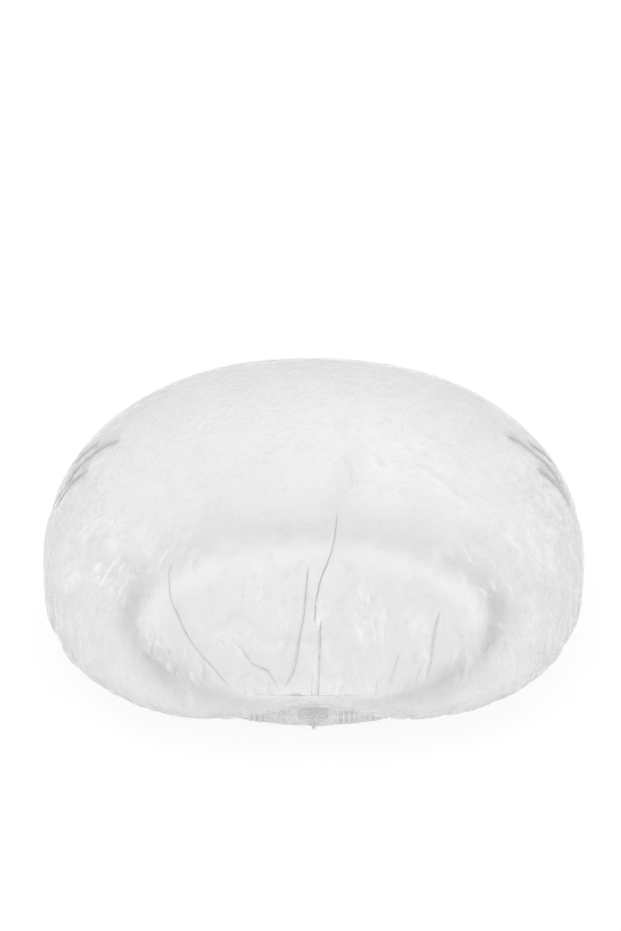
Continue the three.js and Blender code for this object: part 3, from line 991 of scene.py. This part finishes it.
def node(tree, kind, inputs=None, **settings):
    made = tree.nodes.new("ShaderNode" + kind)
    for name, value in settings.items():
        setattr(made, name, value)
    return fill(made, inputs or {})


def new_material(name, inputs):
    material = bpy.data.materials.new(name)
    material.use_nodes = True
    tree = material.node_tree
    return material, tree, fill(tree.nodes["Principled BSDF"], inputs)


def math_node(operation, first, second=0.0):
    tree = (first if isinstance(first, bpy.types.NodeSocket) else second).id_data
    return node(tree, "Math", {0: first, 1: second}, operation=operation).outputs[0]


def plus(first, second):
    return math_node("ADD", first, second)


def minus(first, second):
    return math_node("SUBTRACT", first, second)


def times(first, second):
    return math_node("MULTIPLY", first, second)


def noise_of(place, scale, detail, roughness, distortion=0.0):
    return node(place.id_data, "TexNoise", {
        "Vector": place, "Scale": scale, "Detail": detail, "Roughness": roughness, "Distortion": distortion,
    }).outputs["Fac"]


def ridge_of(value, sharpness):
    """Bright lines where a noise passes its middle value."""
    apart = math_node("ABSOLUTE", minus(value, 0.5))
    return math_node("MAXIMUM", minus(1.0, times(apart, sharpness)))


def ramp_of(value, low, high):
    """0 below low and 1 above high, eased between."""
    limits = {"Value": value, "From Min": low, "From Max": high}
    return node(value.id_data, "MapRange", limits, interpolation_type="SMOOTHSTEP").outputs["Result"]


def tint_of(share, first, second, low=0.0, high=1.0):
    """From the first colour at a share of low to the second at high."""
    made = node(share.id_data, "ValToRGB", {"Fac": share})
    for mark, colour, position in zip(made.color_ramp.elements, (first, second), (low, high)):
        mark.color = (*colour, 1)
        mark.position = position
    return made.outputs["Color"]


def bump_of(height, strength, distance):
    inputs = {"Height": height, "Strength": strength, "Distance": distance}
    return node(height.id_data, "Bump", inputs).outputs["Normal"]


def attribute_of(tree, name, output="Fac"):
    return node(tree, "Attribute", attribute_name=name).outputs[output]


# The film's noises: scale, detail, roughness and distortion. Streaks and uprights are drawn on the grain
STREAK_NOISE = (0.5, 3.0, 0.55, 0.6)
UPRIGHT_NOISE = (0.26, 3.0, 0.6, 0.3)
STROKE_NOISE = (75.0, 3.0, 0.6, 1.2)
PATCH_NOISE = (32.0, 3.0, 0.6, 0.5)
CRINKLE_NOISE = (46.0, 5.0, 0.62, 0.7)
BREAK_NOISE = (85.0, 2.0, 0.5, 0.8)
MOTTLE_NOISE = (22.0, 3.0, 0.55, 0.4)
CRUMPLE_NOISE = (90.0, 5.0, 0.6, 0.8)

# What share of the light a bright streak scatters, as a painted glint, and how far dark lines go towards the
# painted shade colour, as painted shade
STREAK_PAINTED_GLINT = 0.33
LESS_IN_FRONT = 0.13
CRINKLE_PAINTED_SHADE = 0.11
UPRIGHT_PAINTED_SHADE = 0.025
MOTTLE_ROUGHNESS = 0.08
STREAKS_START = 60
STREAKS_FULL = 125


def film_material(name, clear, painted_shade_colour, blur, refraction, clarity, milk, marks):
    """Thin glossy film of roughness blur. clarity of the light goes through, and where shade is painted, at
    creases and on the gathered band, milk of it is lost and the colour goes towards the painted shade colour.
    """
    material, tree, shader = new_material(name, {
        "Base Color": (*clear, 1),
        "Roughness": blur,
        "IOR": refraction,
        "Coat Weight": 1.0,
        "Coat Roughness": 0.09,
    })
    place = node(tree, "UVMap", uv_map="film").outputs["UV"]
    # where shade is painted on the film: along creases, on the shoulders and on the gathered band
    milk_and_painted_shade = attribute_of(tree, "milk_and_painted_shade")
    grain = attribute_of(tree, "grain", "Vector")
    part = node(tree, "SeparateXYZ", {0: grain}).outputs
    from_top = ramp_of(part["Z"], STREAKS_START / GRAIN_STRETCH, STREAKS_FULL / GRAIN_STRETCH)

    # short upright streaks in patches, long upright lines, and thin broken crinkle lines
    patch = ramp_of(noise_of(place, *PATCH_NOISE), 0.42, 0.58)
    streak = times(ridge_of(noise_of(grain, *STREAK_NOISE), 13.0), from_top)
    stroke = ridge_of(noise_of(place, *STROKE_NOISE), 16.0)
    streak = plus(streak, times(stroke, 0.5))
    streak = ramp_of(times(streak, patch), 0.2, 0.75)
    upright = times(ridge_of(noise_of(grain, *UPRIGHT_NOISE), 12.0), from_top)
    broken = ramp_of(noise_of(place, *BREAK_NOISE), 0.47, 0.6)
    crinkle = times(ridge_of(noise_of(place, *CRINKLE_NOISE), 26.0), broken)

    # streaks are painted glints: they scatter light, less so in front, where the floor behind them is darker
    front = ramp_of(times(part["Y"], -1.0 / GRAIN_RADIUS), 0.5, 0.85)
    painted_glint = minus(STREAK_PAINTED_GLINT * marks, times(front, LESS_IN_FRONT * marks))
    lost = plus(times(streak, painted_glint), times(milk_and_painted_shade, milk))
    # painted shade: crinkle and upright lines darken the film towards the painted shade colour
    painted_shade_lines = plus(times(crinkle, CRINKLE_PAINTED_SHADE), times(upright, UPRIGHT_PAINTED_SHADE))
    dense = plus(milk_and_painted_shade, times(painted_shade_lines, marks))
    mottle = noise_of(place, *MOTTLE_NOISE)
    relief = plus(noise_of(place, *CRUMPLE_NOISE), times(streak, 0.5))
    relief = plus(relief, times(crinkle, 0.25))
    fill(shader, {
        "Transmission Weight": math_node("MAXIMUM", minus(clarity, lost)),
        "Base Color": tint_of(dense, clear, painted_shade_colour),
        "Roughness": plus(blur - MOTTLE_ROUGHNESS / 2, times(mottle, MOTTLE_ROUGHNESS)),
        "Coat Normal": bump_of(relief, 1.0, 0.0009),
    })
    return material


def rubber_material(name, colour, roughness, scale):
    """Covered elastic thread: a slightly mottled, dull surface."""
    material, tree, shader = new_material(name, {"Base Color": (*colour, 1), "Roughness": roughness})
    place = node(tree, "TexCoord").outputs["Object"]
    mottle = noise_of(place, scale, 3.0, 0.6)
    darker = [0.88 * channel for channel in colour]
    lighter = [min(1.08 * channel, 1) for channel in colour]
    fill(shader, {
        "Base Color": tint_of(mottle, darker, lighter, 0.3, 0.7),
        "Roughness": plus(roughness - 0.1, times(mottle, 0.2)),
        "Normal": bump_of(noise_of(place, scale * 3, 2.0, 0.5), 0.5, 0.0001),
    })
    return material


def patch_material():
    """Film melted into one piece: clear at the pressed points and milkier between them."""
    clear = (0.99, 0.99, 0.99)
    milky = (0.86, 0.862, 0.865)
    material, tree, shader = new_material("welded_film", {
        "Base Color": (*clear, 1),
        "Roughness": 0.3,
        "IOR": 1.12,
        "Transmission Weight": 0.3,
    })
    place = node(tree, "TexCoord").outputs["Object"]
    mottle = noise_of(place, 900.0, 3.0, 0.6)
    dense = plus(times(attribute_of(tree, "milk_and_painted_shade"), 0.8), times(mottle, 0.2))
    fill(shader, {
        "Base Color": tint_of(dense, clear, milky),
        "Roughness": plus(0.2, times(mottle, 0.2)),
        "Normal": bump_of(mottle, 0.4, 0.0002),
    })
    return material


crown.data.materials.append(film_material(
    "film", clear=(0.9995, 0.9995, 0.9995), painted_shade_colour=(0.5, 0.502, 0.505), blur=0.3, refraction=1.14,
    clarity=0.86, milk=0.1, marks=1.0,
))
hem.data.materials.append(film_material(
    "hem_film", clear=(1.0, 1.0, 1.0), painted_shade_colour=(0.6, 0.602, 0.605), blur=0.06, refraction=1.03,
    clarity=0.99, milk=3.0, marks=0.02,
))
elastic_look = rubber_material("elastic_thread", (0.96, 0.961, 0.963), 0.6, 700.0)
for strand in (strand_lower, strand_upper):
    strand.data.materials.append(elastic_look)
tail.data.materials.append(rubber_material("elastic_cut_end", (0.86, 0.86, 0.865), 0.5, 900.0))
seal.data.materials.append(patch_material())

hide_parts("crown_film")
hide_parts("hem_casing")
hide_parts("elastic_strand_lower")
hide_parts("elastic_strand_upper")
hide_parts("join_seal")
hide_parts("join_tail")

# The studio: a white floor that keeps a faint shadow and has a painted shadow inside the cap's mouth, a white
# surround and narrow lamps for the gloss

# the floor's glow: FLOOR_GLOW inside the mouth's painted shadow, with OPEN_FLOOR_GLOW more outside it and
# under the front
FLOOR_REACH = 12.0
FLOOR_COLOUR = 0.14
FLOOR_GLOW = 0.6
OPEN_FLOOR_GLOW = 0.26

floor_mesh = bpy.data.meshes.new("floor")
corners = [(x * FLOOR_REACH, y * FLOOR_REACH, 0) for x, y in ((-1, -1), (1, -1), (1, 1), (-1, 1))]
floor_mesh.from_pydata(corners, [], [(0, 1, 2, 3)])
floor = add_object("floor", floor_mesh)
material = bpy.data.materials.new("floor")
material.use_nodes = True
tree = material.node_tree
tree.nodes.clear()
# painted shadow: inside the mouth the floor glows a little less, standing in for the shade of the film over
# it
place = node(tree, "TexCoord").outputs["Object"]
stretch = {0: place, 1: (1 / LOOP_HALF_WIDTH / MM, 1 / LOOP_HALF_DEPTH / MM, 0)}
share = node(tree, "VectorMath", stretch, operation="MULTIPLY").outputs["Vector"]
reach = node(tree, "VectorMath", {0: share}, operation="LENGTH").outputs["Value"]
outside_painted_shadow = ramp_of(reach, 0.82, 1.0)
# painted light: the painted shadow is lifted under the front, where the film is held up and light comes in
part = node(tree, "SeparateXYZ", {0: share}).outputs
painted_front_light = ramp_of(times(part["Y"], -1.0), 0.5, 0.8)
out_of_painted_shadow = math_node("MAXIMUM", outside_painted_shadow, painted_front_light)
strength = plus(FLOOR_GLOW, times(out_of_painted_shadow, OPEN_FLOOR_GLOW))
glow = node(tree, "Emission", {"Strength": strength})
matt = node(tree, "BsdfDiffuse", {"Color": (FLOOR_COLOUR, FLOOR_COLOUR, FLOOR_COLOUR, 1)})
both = node(tree, "AddShader", {0: glow.outputs[0], 1: matt.outputs[0]})
node(tree, "OutputMaterial", {"Surface": both.outputs[0]})
floor_mesh.materials.append(material)


def make_lamp(name, azimuth, elevation, distance, size, radiance):
    """A flat lamp that faces the cap. radiance is how bright its face looks, with 1 as white."""
    data = bpy.data.lights.new(name, "AREA")
    data.shape = "RECTANGLE"
    data.size, data.size_y = size
    data.energy = radiance * math.pi * size[0] * size[1]
    lamp = add_object(name, data)
    a = math.radians(azimuth)
    e = math.radians(elevation)
    away = Vector((math.sin(a) * math.cos(e), -math.cos(a) * math.cos(e), math.sin(e)))
    centre = Vector((0, 0, 0.05))
    lamp.location = centre + away * distance
    lamp.rotation_euler = away.to_track_quat("Z", "Y").to_euler()
    lamp.visible_transmission = False


scene.world = bpy.data.worlds.new("studio")
scene.world.use_nodes = True
fill(scene.world.node_tree.nodes["Background"], {"Color": (1, 1, 1, 1), "Strength": 1.0})
# name, azimuth, elevation, distance, width and height, radiance
make_lamp("left_strip", -48, 30, 1.3, (0.07, 0.9), 6)
make_lamp("right_strip", 52, 28, 1.3, (0.07, 0.9), 6)
make_lamp("front_strip", -14, 12, 1.5, (0.06, 0.5), 5)
make_lamp("top_strip", 10, 74, 1.2, (0.9, 0.08), 2)
make_lamp("back_strip", 160, 42, 1.4, (0.8, 0.08), 5)
make_lamp("soft_top", -25, 62, 2.0, (1.2, 1.2), 0.9)

scene.view_settings.view_transform = "Standard"
scene.cycles.max_bounces = 40
scene.cycles.transmission_bounces = 40
scene.cycles.glossy_bounces = 12
